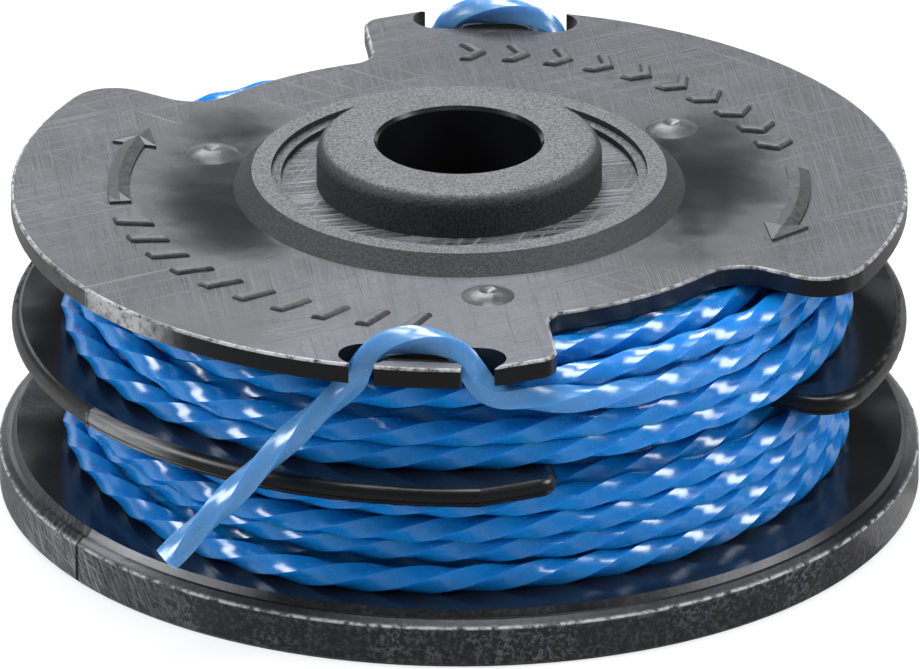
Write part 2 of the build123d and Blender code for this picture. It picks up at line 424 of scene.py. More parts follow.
def near_parting(tree, travel, before, after):
    """1 at the parting line, fading to 0 within an angle before and after it."""
    early = ramp(tree, travel, pi - radians(before), pi)
    late = ramp(tree, travel, 0.0, radians(after), 1.0, 0.0)
    return calc(tree, "MAXIMUM", early, late)


def arc_vector(tree, travel, parts):
    """Place on a round wall unrolled flat: length along it and height."""
    length = calc(tree, "MULTIPLY", travel, BASE_R * MM)
    return add_node(tree, "ShaderNodeCombineXYZ", {"X": length, "Y": parts["Z"]}).outputs[0]


def new_material(name):
    """New node material with its tree, its Principled shader and the place on the piece."""
    material = bpy.data.materials.new(name)
    material.use_nodes = True
    tree = material.node_tree
    place = add_node(tree, "ShaderNodeTexCoord").outputs["Object"]
    return material, tree, tree.nodes["Principled BSDF"], place


def connect(tree, shader, colour=None, roughness=None, bumps=()):
    """Link a Principled shader's colour, roughness and chain of bumps, whose depths are in millimetres."""
    if colour is not None:
        tree.links.new(colour, shader.inputs["Base Color"])
    if roughness is not None:
        tree.links.new(roughness, shader.inputs["Roughness"])
    normal = None
    for height, depth in bumps:
        inputs = {"Height": height, "Strength": 1.0, "Distance": depth * MM}
        bump = add_node(tree, "ShaderNodeBump", inputs)
        if normal is not None:
            tree.links.new(normal, bump.inputs["Normal"])
        normal = bump.outputs["Normal"]
    if normal is not None:
        tree.links.new(normal, shader.inputs["Normal"])


# Materials
def line_material():
    """Glossy, cloudy blue nylon that light seeps through, with painted light: paler where the line runs
    free.
    """
    material, tree, shader, place = new_material("twisted_blue_nylon")
    free = add_node(tree, "ShaderNodeAttribute", attribute_name="free").outputs["Fac"]
    cloud = noise(tree, place, scale=260.0, detail=2.0)
    grain = noise(tree, place, scale=2600.0, detail=3.0)
    deep = mix_colour(tree, cloud, *LINE_DEEP)
    # Painted light: the free end's paler blue stands in for light shining through it
    pale = mix_colour(tree, cloud, *LINE_LIT_THROUGH_PALE)
    colour = mix_colour(tree, free, deep, pale)
    roughness = ramp(tree, grain, 0.3, 0.75, *LINE_ROUGHNESS)
    connect(tree, shader, colour, roughness, [(cloud, 0.02)])
    shader.inputs["Subsurface Weight"].default_value = LINE_SEEP
    shader.inputs["Subsurface Radius"].default_value = LINE_SEEP_SHARES
    shader.inputs["Subsurface Scale"].default_value = LINE_SEEP_DEPTH * MM
    shader.inputs["IOR"].default_value = LINE_IOR
    shader.inputs["Specular IOR Level"].default_value = 1.0
    return material


def flange_material():
    """Black face brushed silvery by fine scratches, smooth and dark in smudges beside the hub, with a
    painted sheen towards the front.
    """
    material, tree, shader, place = new_material("scratched_black_nylon")
    parts = axes(tree, place)
    flat = vector_calc(tree, "MULTIPLY", place, LEVEL_PART)["Vector"]
    radius = vector_calc(tree, "LENGTH", flat)["Value"]
    sideways = calc(tree, "ABSOLUTE", calc(tree, "DIVIDE", parts["X"], radius))
    cloud = noise(tree, place, scale=110.0, detail=3.0)
    patches = noise(tree, place, scale=55.0, detail=2.0)
    grain = noise(tree, place, scale=3200.0, detail=2.0)
    brush_a = scratches(tree, place, BRUSH_DEG[0], across=5200.0, along=110.0, low=0.4, high=0.66)
    brush_b = scratches(tree, place, BRUSH_DEG[1], across=5600.0, along=120.0, low=0.4, high=0.68)
    first = calc(tree, "MULTIPLY", brush_a, ramp(tree, patches, 0.4, 0.56, 0.25, 1.0))
    second = calc(tree, "MULTIPLY", brush_b, ramp(tree, patches, 0.46, 0.62, 1.0, 0.2))
    brushed = calc(tree, "MAXIMUM", first, second)
    long_lines = scratches(tree, place, BRUSH_DEG[0], across=2600.0, along=60.0, low=0.5, high=0.72)
    steep_lines = scratches(tree, place, BRUSH_DEG[1], across=2900.0, along=75.0, low=0.52, high=0.74)
    cross_lines = scratches(tree, place, BRUSH_DEG[2], across=2300.0, along=70.0, low=0.55, high=0.76)
    lines = calc(tree, "MAXIMUM", calc(tree, "MAXIMUM", long_lines, steep_lines), cross_lines)
    hub_from, hub_to = ((COLLAR_R + reach) * MM for reach in HUB_SMUDGE)
    near_hub = ramp(tree, radius, hub_from, hub_to, 1.0, 0.0)
    beside = calc(tree, "MULTIPLY", near_hub, ramp(tree, sideways, 0.55, 0.92))
    spot = Vector((*SMUDGE_PLACE, TOP_Z)) * MM
    away = vector_calc(tree, "DISTANCE", place, spot)["Value"]
    at_front = ramp(tree, away, 0.0, SMUDGE_REACH * MM, 0.6, 0.0)
    handled = calc(tree, "MAXIMUM", beside, at_front)
    smudge = calc(tree, "MULTIPLY", handled, ramp(tree, cloud, 0.25, 0.5, 0.55, 1.0))
    clean = ramp(tree, smudge, 0.0, 0.5, 1.0, 0.06)
    # Painted sheen: the front of the top face is painted lighter, on top of its scratches
    forward = calc(tree, "DIVIDE", parts["Y"], radius)
    front = ramp(tree, forward, -0.8, -0.98, 0.0, 0.7)
    scratches_and_front_sheen = calc(tree, "MAXIMUM", lines, calc(tree, "MULTIPLY_ADD", brushed, 0.65, front))
    # Scratches plus the painted sheen at the front, fewer in the smudges
    wear = calc(tree, "MULTIPLY", scratches_and_front_sheen, clean)
    colour = mix_colour(tree, wear, *FLANGE_SCRATCH_AND_SHEEN_COLOURS)
    low_brush = calc(tree, "MULTIPLY", brushed, clean)
    low_lines = calc(tree, "MULTIPLY", lines, clean)
    base = ramp(tree, cloud, *NOISE_SPAN, *FLANGE_ROUGHNESS)
    scored = calc(tree, "MULTIPLY_ADD", wear, 0.06, base)
    roughness = calc(tree, "MULTIPLY_ADD", smudge, -0.27, scored)
    bumps = [(low_brush, 0.007), (low_lines, 0.025), (grain, 0.005), (cloud, 0.1)]
    connect(tree, shader, colour, roughness, bumps)
    return material


def mark_material():
    """Rubbed tops of the raised marks and arrows."""
    material, tree, shader, place = new_material("raised_black_nylon")
    grain = noise(tree, place, scale=2600.0, detail=3.0, roughness=0.7)
    rubbed = ramp(tree, grain, *NOISE_SPAN)
    colour = mix_colour(tree, rubbed, *MARK_COLOURS)
    roughness = ramp(tree, grain, *NOISE_SPAN, *MARK_ROUGHNESS)
    connect(tree, shader, colour, roughness, [(grain, 0.008)])
    return material


def groove_material():
    """Brushed floor of the ring between the boss and the collar."""
    material, tree, shader, place = new_material("brushed_black_nylon")
    cloud = noise(tree, place, scale=180.0, detail=3.0)
    fine_lines = scratches(tree, place, 12.0, across=3600.0, along=130.0, low=0.4, high=0.66)
    cross_lines = scratches(tree, place, 70.0, across=3000.0, along=120.0, low=0.46, high=0.7)
    lines = calc(tree, "MAXIMUM", fine_lines, cross_lines)
    colour = mix_colour(tree, lines, *GROOVE_COLOURS)
    roughness = ramp(tree, cloud, *NOISE_SPAN, *GROOVE_ROUGHNESS)
    connect(tree, shader, colour, roughness, [(lines, 0.03), (cloud, 0.06)])
    return material


def hub_material():
    """Fine spark-eroded grain of the collar and boss, with painted light: paler on the parts that look up.
    """
    material, tree, shader, place = new_material("grained_black_nylon")
    facing = add_node(tree, "ShaderNodeNewGeometry").outputs["True Normal"]
    upwards = axes(tree, facing)["Z"]
    grain = noise(tree, place, scale=5200.0, detail=3.0, roughness=0.7)
    cloud = noise(tree, place, scale=150.0, detail=3.0)
    speck = ramp(tree, grain, 0.34, 0.68)
    plain = mix_colour(tree, speck, *HUB_PLAIN)
    # The paler copy for faces that look up is painted light on the hub's tops
    rubbed = mix_colour(tree, speck, *HUB_LIT_TOP_COLOURS)
    colour = mix_colour(tree, ramp(tree, upwards, 0.72, 0.98), plain, rubbed)
    roughness = ramp(tree, cloud, *NOISE_SPAN, *HUB_ROUGHNESS)
    connect(tree, shader, colour, roughness, [(grain, 0.06)])
    return material


def moulded_material():
    """Plain glossy black of the drum, the bore, the chambers and the middle flange."""
    material, tree, shader, place = new_material("satin_black_nylon")
    cloud = noise(tree, place, scale=160.0, detail=3.0)
    grain = noise(tree, place, scale=2600.0, detail=2.0)
    colour = mix_colour(tree, cloud, *MOULDED_COLOURS)
    roughness = ramp(tree, cloud, *NOISE_SPAN, *MOULDED_ROUGHNESS)
    connect(tree, shader, colour, roughness, [(grain, 0.004), (cloud, 0.05)])
    return material


def gate_material():
    """Smooth bright skin of the gate marks."""
    material, tree, shader, place = new_material("smooth_black_nylon")
    cloud = noise(tree, place, scale=700.0, detail=3.0)
    colour = mix_colour(tree, cloud, *GATE_COLOURS)
    roughness = ramp(tree, cloud, *NOISE_SPAN, *GATE_ROUGHNESS)
    connect(tree, shader, colour, roughness, [(cloud, 0.06)])
    return material


def edge_material():
    """Upright edges of the upper flanges: a painted reflection, rough with scuffs, past the parting line
    and a mould line half-way.
    """
    material, tree, shader, place = new_material("edge_black_nylon")
    parts = axes(tree, place)
    travel = past_parting(tree, parts)
    arc = arc_vector(tree, travel, parts)
    cloud = noise(tree, place, scale=200.0, detail=3.0)
    grain = noise(tree, place, scale=1500.0, detail=4.0, roughness=0.7)
    rough_spots = ramp(tree, grain, 0.3, 0.58, 0.3, 1.0)
    mottled = calc(tree, "MULTIPLY", rough_spots, ramp(tree, cloud, 0.3, 0.5, 0.5, 1.0))
    lengthwise = scratches(tree, arc, 3.0, across=4200.0, along=200.0, low=0.35, high=0.62)
    streaked = calc(tree, "MULTIPLY_ADD", lengthwise, 0.35, 0.3)
    upper = calc(tree, "GREATER_THAN", parts["Z"], (MID_TOP_Z + TOP_LOW_Z) / 2 * MM)
    on_top = calc(tree, "MULTIPLY", upper, mottled)
    finish = calc(tree, "MULTIPLY_ADD", calc(tree, "SUBTRACT", 1.0, upper), streaked, on_top)
    # Painted reflection: pale just past the parting line and fading, faint before it; the same patch is
    # scuffed rougher
    after = ramp(tree, travel, radians(9.0), radians(19.0), 1.0, 0.0)
    before = ramp(tree, travel, pi - radians(26.0), pi, 0.0, 0.14)
    scuffs_and_sheen = calc(tree, "MULTIPLY", calc(tree, "MAXIMUM", after, before), finish)
    seam = band(tree, parts["Z"], (MID_TOP_Z * 0.35 + MID_LOW_Z * 0.65) * MM, 0.1 * MM)
    # Colour with the painted reflection
    worn = mix_colour(tree, scuffs_and_sheen, *EDGE_AND_SHEEN_COLOURS)
    colour = mix_colour(tree, seam, worn, EDGE_SEAM)
    base = ramp(tree, cloud, *NOISE_SPAN, *EDGE_ROUGHNESS)
    roughness = calc(tree, "MULTIPLY_ADD", scuffs_and_sheen, 0.2, base)
    scars = calc(tree, "MULTIPLY", grain, scuffs_and_sheen)
    bumps = [(calc(tree, "MULTIPLY", seam, -1.0), 0.08), (scars, 0.02), (cloud, 0.02)]
    connect(tree, shader, colour, roughness, bumps)
    return material


def burr_material():
    """Rubbed upper edge of the top flange, pale in an uneven line."""
    material, tree, shader, place = new_material("rubbed_black_nylon")
    fine = noise(tree, place, scale=1700.0, detail=4.0, roughness=0.7)
    broad = noise(tree, place, scale=160.0, detail=2.0)
    uneven = ramp(tree, broad, 0.32, 0.58, 0.4, 1.0)
    rubbed = calc(tree, "MULTIPLY", ramp(tree, fine, 0.34, 0.58), uneven)
    colour = mix_colour(tree, rubbed, *BURR_COLOURS)
    roughness = ramp(tree, fine, *NOISE_SPAN, *BURR_ROUGHNESS)
    connect(tree, shader, colour, roughness, [(fine, 0.04)])
    return material


def rim_material():
    """Outer wall and lip of the bottom flange, scuffed in streaks beside the parting line, with a painted
    highlight on the lip just past it.
    """
    material, tree, shader, place = new_material("scuffed_black_nylon")
    parts = axes(tree, place)
    travel = past_parting(tree, parts)
    arc = arc_vector(tree, travel, parts)
    cloud = noise(tree, place, scale=130.0, detail=4.0)
    grain = noise(tree, place, scale=2600.0, detail=4.0, roughness=0.75)
    fine = noise(tree, place, scale=1200.0, detail=4.0, roughness=0.7)
    leaning = scratches(tree, arc, -58.0, across=3200.0, along=420.0, low=0.42, high=0.68)
    lengthwise = scratches(tree, arc, -12.0, across=3400.0, along=260.0, low=0.46, high=0.7)
    streaks = calc(tree, "MAXIMUM", leaning, lengthwise)
    lip = ramp(tree, parts["Z"], (RIM_EDGE_Z + 0.08) * MM, (RIM_EDGE_Z + 0.25) * MM)
    on_wall = calc(tree, "MULTIPLY_ADD", lip, -0.7, 1.0)
    spread = calc(tree, "MULTIPLY", near_parting(tree, travel, before=30.0, after=26.0), on_wall)
    zone = calc(tree, "MULTIPLY", spread, ramp(tree, cloud, 0.32, 0.55, 0.3, 1.0))
    beside = calc(tree, "MULTIPLY", zone, streaks)
    patches = ramp(tree, cloud, 0.42, 0.65, 0.15, 0.5)
    spots = calc(tree, "MULTIPLY", patches, calc(tree, "MULTIPLY", on_wall, 0.75))
    speckle = calc(tree, "MULTIPLY", spots, ramp(tree, grain, 0.45, 0.64))
    line = band(tree, parts["Z"], RIM_EDGE_Z * MM, 0.17 * MM)
    edge = calc(tree, "MULTIPLY", line, ramp(tree, fine, 0.38, 0.58))
    # Painted highlight on the lip, bright just past the parting line and fading
    lip_highlight = calc(tree, "MULTIPLY", lip, ramp(tree, travel, radians(7.0), radians(19.0), 1.0, 0.0))
    lengths = scratches(tree, arc, 2.0, across=4200.0, along=200.0, low=0.3, high=0.6)
    smooth = calc(tree, "MULTIPLY", lip_highlight, calc(tree, "MULTIPLY_ADD", lengths, 0.5, 0.5))
    wear = calc(tree, "MAXIMUM", beside, speckle)
    seam = near_parting(tree, travel, before=0.35, after=0.35)
    plain = mix_colour(tree, lip, *RIM_PLAIN)
    scuffed = mix_colour(tree, wear, plain, RIM_SCUFFED)
    with_lip_highlight = mix_colour(tree, smooth, scuffed, RIM_LIP_HIGHLIGHT)
    rubbed = mix_colour(tree, edge, with_lip_highlight, RIM_RUBBED)
    colour = mix_colour(tree, seam, rubbed, RIM_SEAM)
    glossy = calc(tree, "MULTIPLY_ADD", lip, -0.03, ramp(tree, cloud, *NOISE_SPAN, *RIM_ROUGHNESS))
    roughness = calc(tree, "MULTIPLY_ADD", wear, 0.1, glossy)
    connect(tree, shader, colour, roughness, [(grain, 0.008), (wear, 0.02)])
    return material


# Wound and clipped line
def wound_points(marks, floor_z):
    """Control points of wound turns: radius and height blend smoothly from mark to mark."""
    swell = 1 / cos(pi / POINTS_A_TURN)
    points = []
    for (start, radius_a, height_a), (end, radius_b, height_b) in zip(marks, marks[1:]):
        steps = max(1, round((end - start) * POINTS_A_TURN / 360))
        for step in range(steps):
            travel = start + (end - start) * step / steps
            blend = ease(step / steps)
            radius = radius_a + (radius_b - radius_a) * blend
            height = height_a + (height_b - height_a) * blend
            sway = sum(SWAY * sin(radians(travel * waves)) for waves in SWAY_WAVES)
            point = polar((radius + sway) * swell, START_DEG - travel, floor_z + height + sway)
            point.x += DRIFT_X * MM * ease((radius - DRIFT_FROM_R) / (DRIFT_FULL_R - DRIFT_FROM_R))
            points.append(point)
    return points


def inner_marks(layers, level_h):
    """Marks of the inner layers, which climb and sink by turns; each turn changes level at the back."""
    marks = []
    for layer, (radius, turns) in enumerate(layers):
        levels = list(range(turns))
        if layer % 2:
            levels.reverse()
        for level in levels:
            start = len(marks) // 2 * 360
            height = (level + 0.5) * level_h
            marks.append((start + WINDOW_DEG, radius, height))
            marks.append((start + 360 - WINDOW_DEG, radius, height))
    return marks


def spline_samples(points):
    """Points read from one smooth spline that has the given control points."""
    curve = bpy.data.curves.new("route", "CURVE")
    curve.dimensions = "3D"
    spline = curve.splines.new("NURBS")
    spline.points.add(len(points) - 1)
    for control, point in zip(spline.points, points):
        control.co = (*point, 1.0)
    spline.order_u = ROUTE_ORDER
    spline.use_endpoint_u = True
    spline.resolution_u = SAMPLES_A_POINT
    holder = bpy.data.objects.new("route", curve)
    mesh = bpy.data.meshes.new_from_object(holder)
    samples = [vertex.co.copy() for vertex in mesh.vertices]
    bpy.data.objects.remove(holder)
    bpy.data.curves.remove(curve)
    bpy.data.meshes.remove(mesh)
    return samples


def line_section():
    """Outline of the line across its length, in metres."""
    outline = []
    for step in range(SECTION_POINTS):
        angle = 2 * pi * step / SECTION_POINTS
        across, beside = cos(angle), sin(angle)
        reach = (abs(across) ** SQUARENESS + abs(beside) ** SQUARENESS) ** (-1 / SQUARENESS)
        outline.append((HALF_W * MM * reach * across, HALF_W * MM * reach * beside))
    return outline


def kept_samples(samples, free_from):
    """Indices of the samples that get a ring: few in the hidden layers, all where the line shows."""
    kept = []
    for index, sample in enumerate(samples):
        radius = sample.xy.length / MM
        depth = sum(radius > limit for limit in SPARSE_R)
        stride = 1 if index >= free_from else SPARSE_STRIDE[depth]
        if index % stride == 0 or index == len(samples) - 1:
            kept.append(index)
    return kept


def twisted_line(name, points, free_point, material):
    """Twisted square line along a spline, with the share of its free end kept on its vertices."""
    samples = spline_samples(points)
    free_from = free_point * SAMPLES_A_POINT
    kept = kept_samples(samples, free_from)
    section = line_section()
    vertices, faces, free = [], [], []
    count = len(section)
    tangent = (samples[1] - samples[0]).normalized()
    normal = tangent.orthogonal().normalized()
    angle = 0.0
    for ring, index in enumerate(kept):
        after = samples[min(index + 1, len(samples) - 1)]
        before = samples[max(index - 1, 0)]
        heading = (after - before).normalized()
        normal = tangent.rotation_difference(heading) @ normal
        tangent = heading
        share = ease((index - free_from) / (FREE_BLEND_POINTS * SAMPLES_A_POINT))
        if ring:
            moved = (samples[index] - samples[kept[ring - 1]]).length
            pitch = (WOUND_PITCH + (FREE_PITCH - WOUND_PITCH) * share) * MM
            angle -= 2 * pi * moved / pitch
        across = Quaternion(tangent, angle) @ normal
        beside = tangent.cross(across)
        for x, y in section:
            vertices.append(samples[index] + across * x + beside * y)
            free.append(share)
        if ring:
            last = (ring - 1) * count
            for k in range(count):
                nxt = (k + 1) % count
                faces.append((last + k, last + nxt, last + count + nxt, last + count + k))
    faces.append(tuple(range(count))[::-1])
    faces.append(tuple(range(len(vertices) - count, len(vertices))))
    piece = add_mesh(name, vertices, faces, material)
    piece.data.shade_smooth()
    piece.data.set_sharp_from_angle(angle=radians(CORNER_DEG))
    piece.data.attributes.new("free", "FLOAT", "POINT").data.foreach_set("value", free)
    return piece


def wind_line(name, side, winding, end, layers, outer, route, material):
    """One whole line: its wound turns and its clipped end."""
    low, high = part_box(winding)
    inner = inner_marks(layers, (high.z - low.z) / MM / TURNS_A_LAYER)
    begun = len(inner) // 2 * 360
    marks = inner + [(begun + travel, radius, height) for travel, radius, height in outer]
    points = wound_points(marks, low.z / MM)
    free_point = len(points)
    for radius, degrees, height in route:
        points.append(polar(radius, degrees + TURN_DEG[side], height))
    piece = twisted_line(name, points, free_point, material)
    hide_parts(winding, end)
    return piece


# Spool finish
def spool_zone(face):
    """Name of the finish of one face of the moulding, from where it is and which way it looks."""
    radius = face.center.xy.length / MM
    height = face.center.z / MM
    level = abs(face.normal.z)
    if height > TOP_Z - BURR_H:
        if radius < BORE_EDGE_R and level < BORE_LEVEL:
            return "moulded"
        if radius < COLLAR_R:
            in_ring = GROOVE_R[0] < radius < GROOVE_R[1]
            on_floor = level > GROOVE_LEVEL and height < TOP_Z + GROOVE_H
            return "groove" if in_ring and on_floor else "hub"
        if height > TOP_Z + NEAR / 2:
            return "gate"
        return "flange" if level > FLAT else "burr"
    on_lip = radius > LIP_R and RIM_EDGE_Z < height < RIM_EDGE_Z + LIP_H
    if on_lip or radius > FLANGE_R + RIM_CLEAR:
        return "rim"
    beside = height > TOP_LOW_Z - NEAR or MID_LOW_Z - NEAR < height < MID_TOP_Z + NEAR
    return "edge" if beside and level < FLAT and radius > EDGE_MIN_R else "moulded"


def round_edge(piece):
    """Shade the middle flange's rounded upper edge by its true round instead of by its facets."""
    tree = bpy.data.node_groups.new("round_edge", "GeometryNodeTree")
    for in_out in ("INPUT", "OUTPUT"):
        tree.interface.new_socket("Geometry", in_out=in_out, socket_type="NodeSocketGeometry")
    solid = add_node(tree, "NodeGroupInput").outputs[0]
    normal = add_node(tree, "GeometryNodeInputNormal").outputs
    place = add_node(tree, "GeometryNodeInputPosition").outputs[0]
    height = axes(tree, place)["Z"]
    above = calc(tree, "SUBTRACT", height, (MID_TOP_Z - MID_EDGE_R) * MM)
    share = calc(tree, "DIVIDE", above, MID_EDGE_R * MM)
    rise = calc(tree, "MINIMUM", calc(tree, "MAXIMUM", share, 0.0), 1.0)
    lean = calc(tree, "SQRT", calc(tree, "SUBTRACT", 1.0, calc(tree, "MULTIPLY", rise, rise)))
    level = vector_calc(tree, "MULTIPLY", normal["Normal"], LEVEL_PART)["Vector"]
    outward = vector_calc(tree, "NORMALIZE", level)["Vector"]
    parts = {0: outward, "Scale": lean}
    sideways = add_node(tree, "ShaderNodeVectorMath", parts, operation="SCALE").outputs[0]
    upwards = add_node(tree, "ShaderNodeCombineXYZ", {"Z": rise}).outputs[0]
    rounded = vector_calc(tree, "ADD", sideways, upwards)["Vector"]
    facing = axes(tree, normal["True Normal"])["Z"]
    tilt = add_node(tree, "GeometryNodeFieldOnDomain", {0: facing}, domain="FACE").outputs[0]
    on_edge = band(tree, height, (MID_TOP_Z - MID_EDGE_R / 2) * MM, (MID_EDGE_R / 2 + HAIR) * MM)
    on_round = calc(tree, "MULTIPLY", on_edge, band(tree, tilt, *MID_EDGE_TILT))
    choice = {0: on_round, 1: normal["Normal"], 2: rounded}
    shown = add_node(tree, "GeometryNodeSwitch", choice, input_type="VECTOR").outputs[0]
    shading = add_node(tree, "GeometryNodeSetMeshNormal", {"Mesh": solid}, mode="FREE", domain="CORNER")
    tree.links.new(shown, shading.inputs["Custom Normal"])
    add_node(tree, "NodeGroupOutput", {0: shading.outputs[0]})
    piece.modifiers.new("round_edge", "NODES").node_group = tree


def finish_spool():
    """Give the moulding's zones their own finish."""
    round_edge(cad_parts["spool"])
    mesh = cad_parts["spool"].data
    finishes = {
        "moulded": moulded_material(),
        "flange": flange_material(),
        "groove": groove_material(),
        "hub": hub_material(),
        "gate": gate_material(),
        "mark": mark_material(),
        "edge": edge_material(),
        "burr": burr_material(),
        "rim": rim_material(),
    }
    mesh.materials.clear()
    for material in finishes.values():
        mesh.materials.append(material)
    names = list(finishes)
    for face in mesh.polygons:
        face.material_index = names.index(spool_zone(face))
    return finishes


# Relief
def raised(name, outlines, material):
    """Low flat marks with bevelled tops, from outlines of the top face."""
    shape = bmesh.new()
    for outline in outlines:
        foot = [shape.verts.new(point) for point in outline]
        face = shape.faces.new(foot)
        grown = bmesh.ops.extrude_face_region(shape, geom=[face])
        tops = [v for v in grown["geom"] if isinstance(v, bmesh.types.BMVert)]
        bmesh.ops.translate(shape, verts=tops, vec=(0, 0, MARK_H * MM))
    bmesh.ops.recalc_face_normals(shape, faces=shape.faces)
    high = [e for e in shape.edges if all(v.co.z > (TOP_Z + MARK_H / 2) * MM for v in e.verts)]
    bevel = {"offset": MARK_BEVEL * MM, "segments": MARK_BEVEL_STEPS, "profile": 0.5}
    bmesh.ops.bevel(shape, geom=high, affect="EDGES", **bevel)
    mesh = bpy.data.meshes.new(name)
    shape.to_mesh(mesh)
    shape.free()
    mesh.materials.append(material)
    piece = bpy.data.objects.new(name, mesh)
    bpy.context.scene.collection.objects.link(piece)
    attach(piece, "root")
    return piece


def arc_place(radius, degrees, along, out):
    """Point on the top face from a place on an arc, moved along the arc (clockwise) and outwards."""
    return polar(radius + out, degrees - along / radius * 180 / pi, TOP_Z)


def chevron_outlines():
    """Chevrons that point the way the line is wound."""
    outlines = []
    for index in range(CHEVRONS):
        degrees = CHEVRON_DEG[0] + (CHEVRON_DEG[1] - CHEVRON_DEG[0]) * index / (CHEVRONS - 1)
        corners = (
            (0, CHEVRON_HALF_H),
            (CHEVRON_STROKE, CHEVRON_HALF_H),
            (CHEVRON_STROKE + CHEVRON_REACH, 0),
            (CHEVRON_STROKE, -CHEVRON_HALF_H),
            (0, -CHEVRON_HALF_H),
            (CHEVRON_REACH, 0),
        )
        outlines.append([arc_place(CHEVRON_R, degrees, along, out) for along, out in corners])
    return outlines


def bar_outlines():
    """Row of plain leaning bars."""
    outlines = []
    for index in range(BARS):
        degrees = BAR_DEG[0] + (BAR_DEG[1] - BAR_DEG[0]) * index / (BARS - 1)
        corners = (
            (BAR_LEAN, BAR_HALF_H),
            (BAR_LEAN + BAR_W, BAR_HALF_H),
            (BAR_W - BAR_LEAN, -BAR_HALF_H),
            (-BAR_LEAN, -BAR_HALF_H),
        )
        outlines.append([arc_place(BAR_R, degrees, along, out) for along, out in corners])
    return outlines


def arrow(name, turn, material):
    """Curved arrow with a ridge along its middle."""
    vertices, faces = [], []
    profile = (
        (-ARROW_HALF_W, ARROW_FOOT_H),
        (-ARROW_HALF_W, ARROW_SIDE_H),
        (0.0, ARROW_RIDGE_H),
        (ARROW_HALF_W, ARROW_SIDE_H),
        (ARROW_HALF_W, ARROW_FOOT_H),
    )
    for step in range(ARROW_STEPS + 1):
        share = max(0, step - 1) / (ARROW_STEPS - 1)
        begun = ARROW_TAIL_DEG - ARROW_HIP_DEG
        ended = ARROW_NECK_DEG - ARROW_HIP_DEG
        degrees = begun + (ended - begun) * share if step else ARROW_TAIL_DEG
        for out, rise in profile:
            height = min(rise, ARROW_SIDE_H) if step == 0 else rise
            vertices.append(polar(ARROW_R + out, degrees + turn, TOP_Z + height))
        if step:
            new = step * len(profile)
            old = new - len(profile)
            for k in range(len(profile) - 1):
                faces.append((old + k, old + k + 1, new + k + 1, new + k))
    faces.append((0, 4, 3, 2, 1))
    head = len(vertices)
    neck = ARROW_NECK_DEG + turn
    tip = ARROW_TIP_DEG + turn
    for rise in (ARROW_FOOT_H, ARROW_SIDE_H):
        vertices.append(polar(ARROW_R - ARROW_HEAD_HALF_W, neck, TOP_Z + rise))
        vertices.append(polar(ARROW_R + ARROW_HEAD_HALF_W, neck, TOP_Z + rise))
        vertices.append(polar(ARROW_R, tip, TOP_Z + rise))
    vertices.append(polar(ARROW_R, neck - ARROW_HIP_DEG, TOP_Z + ARROW_RIDGE_H))
    corners = (
        (0, 3, 5, 2),
        (1, 2, 5, 4),
        (0, 1, 4, 3),
        (3, 4, 6),
        (3, 6, 5),
        (6, 4, 5),
        (0, 2, 1),
    )
    faces.extend(tuple(head + k for k in corner) for corner in corners)
    piece = add_mesh(name, vertices, faces, material)
    return piece


def flash(name, degrees, profile, material):
    """Thin flash ridge along the parting line, from radius and height points of an edge."""
    vertices, faces = [], []
    for radius, height in profile:
        half = FLASH_W / 2 / radius * 180 / pi
        inner, outer = radius - FLASH_DEEP, radius + FLASH_PROUD
        for reach, side in ((inner, -half), (outer, -half), (outer, half), (inner, half)):
            vertices.append(polar(reach, degrees + side, height))
    for step in range(len(profile) - 1):
        old, new = step * 4, step * 4 + 4
        for k in range(4):
            nxt = (k + 1) % 4
            faces.append((old + k, old + nxt, new + nxt, new + k))
    faces.append((3, 2, 1, 0))
    end = len(vertices) - 4
    faces.append((end, end + 1, end + 2, end + 3))
    piece = add_mesh(name, vertices, faces, material)
    return piece


# Stage
def emission(tree, strength):
    """White light of a strength."""
    return add_node(tree, "ShaderNodeEmission", {"Color": WHITE, "Strength": strength}).outputs[0]


def mix_shader(tree, share, first, second):
    """Output of a shader mix."""
    return add_node(tree, "ShaderNodeMixShader", {0: share, 1: first, 2: second}).outputs[0]


def surround():
    """White backdrop and even fill; gloss sees it glow low at the back and dark elsewhere."""
    world = bpy.data.worlds.new("studio")
    bpy.context.scene.world = world
    world.use_nodes = True
    tree = world.node_tree
    tree.nodes.clear()
    rays = add_node(tree, "ShaderNodeLightPath").outputs
    heading = add_node(tree, "ShaderNodeTexCoord").outputs["Generated"]
    parts = axes(tree, heading)
    low = ramp(tree, parts["Z"], *GLOSS_RISE, 1.0, 0.0)
    low_back = calc(tree, "MULTIPLY", low, ramp(tree, parts["Y"], *GLOSS_BACK))
    glow = calc(tree, "MULTIPLY_ADD", low_back, GLOSS_LEVEL[1], GLOSS_LEVEL[0])
    fill = add_node(tree, "ShaderNodeBackground", {"Color": FILL_COLOUR, "Strength": 1.0}).outputs[0]
    gloss = add_node(tree, "ShaderNodeBackground", {"Color": WHITE, "Strength": glow}).outputs[0]
    white = add_node(tree, "ShaderNodeBackground", {"Color": WHITE, "Strength": 1.0}).outputs[0]
    seen = calc(tree, "MAXIMUM", rays["Is Camera Ray"], rays["Is Transmission Ray"])
    lit = mix_shader(tree, rays["Is Glossy Ray"], fill, gloss)
    surface = mix_shader(tree, seen, lit, white)
    add_node(tree, "ShaderNodeOutputWorld", {"Surface": surface})


